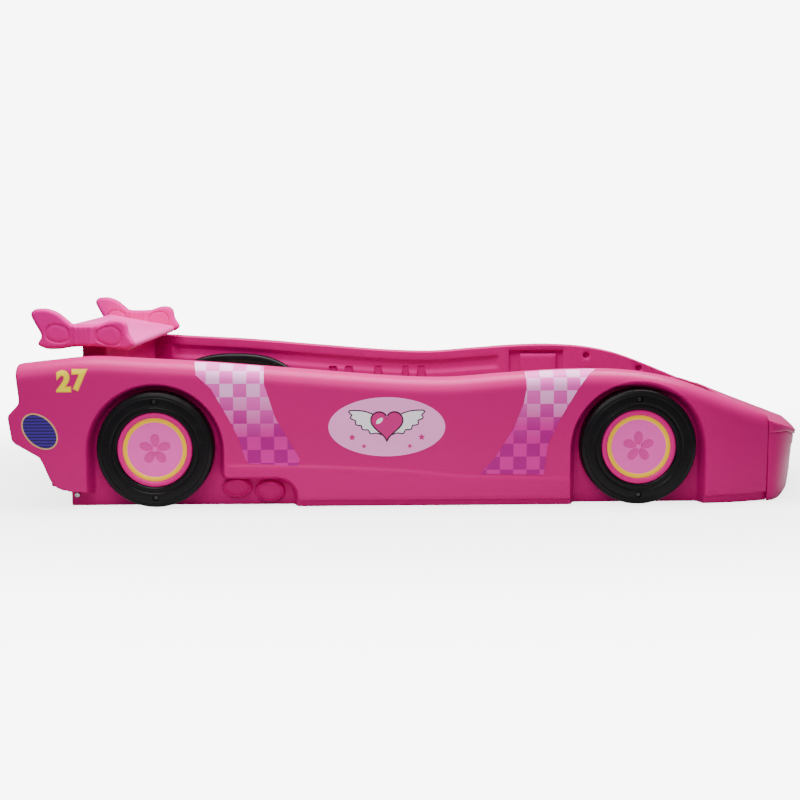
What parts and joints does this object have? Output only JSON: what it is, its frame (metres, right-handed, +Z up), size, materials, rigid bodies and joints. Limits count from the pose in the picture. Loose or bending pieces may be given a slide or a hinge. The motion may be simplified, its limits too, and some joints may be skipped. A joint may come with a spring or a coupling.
{
  "type": "toddler bed",
  "caption": "Race-car shaped toddler bed with moulded side panels, decorative wheels, sloping hood, bow-ended spoiler headboard and a slatted deck for a mattress.",
  "frame": {"origin": "on the floor under the middle of the bed's bounding box", "axes": "+X towards the car's nose, +Y towards its left side, +Z up"},
  "size_m": [2.399, 1.18, 0.572],
  "materials": {
    "body_pink_plastic": "satin moulded pink plastic",
    "bow_pink_plastic": "satin hot pink plastic",
    "wing_pink_plastic": "satin light pink plastic",
    "hub_lilac_plastic": "satin lilac pink plastic with a hot pink rim and a yellow ring",
    "black_plastic": "black moulded plastic",
    "lamp_grey_plastic": "light grey lamp panel",
    "bolt_steel": "zinc-plated steel",
    "slat_wood": "plain pale wood"
  },
  "bodies": {
    "root": {"beam_leg_1": "black_plastic", "beam_leg_2": "black_plastic", "beam_leg_3": "black_plastic", "bumper": "body_pink_plastic", "centre_beam": "black_plastic", "corner_bolt_left": "bolt_steel", "corner_bolt_right": "bolt_steel", "deck_rail_left": "black_plastic", "deck_rail_right": "black_plastic", "foot_panel": "body_pink_plastic", "grille": "black_plastic", "headboard": "body_pink_plastic", "headlight_left": "lamp_grey_plastic", "headlight_right": "lamp_grey_plastic", "hood": "body_pink_plastic", "hub_cap_front_left": "hub_lilac_plastic", "hub_cap_front_right": "hub_lilac_plastic", "hub_cap_rear_left": "hub_lilac_plastic", "hub_cap_rear_right": "hub_lilac_plastic", "side_liner_left": "body_pink_plastic", "side_liner_right": "body_pink_plastic", "side_shell_left": "body_pink_plastic", "side_shell_right": "body_pink_plastic", "slat_01": "slat_wood", "slat_02": "slat_wood", "slat_03": "slat_wood", "slat_04": "slat_wood", "slat_05": "slat_wood", "slat_06": "slat_wood", "slat_07": "slat_wood", "slat_08": "slat_wood", "slat_09": "slat_wood", "slat_10": "slat_wood", "spoiler_bow_left": "bow_pink_plastic", "spoiler_bow_right": "bow_pink_plastic", "spoiler_wing": "wing_pink_plastic", "tail_panel": "body_pink_plastic", "tyre_front_left": "black_plastic", "tyre_front_right": "black_plastic", "tyre_rear_left": "black_plastic", "tyre_rear_right": "black_plastic", "wheel_bolt_front_bottom_left": "bolt_steel", "wheel_bolt_front_bottom_right": "bolt_steel", "wheel_bolt_front_top_left": "bolt_steel", "wheel_bolt_front_top_right": "bolt_steel", "wheel_bolt_rear_bottom_left": "bolt_steel", "wheel_bolt_rear_bottom_right": "bolt_steel", "wheel_bolt_rear_top_left": "bolt_steel", "wheel_bolt_rear_top_right": "bolt_steel", "wheel_housing_cover_left": "black_plastic", "wheel_housing_cover_right": "black_plastic"}
  },
  "joints": []
}
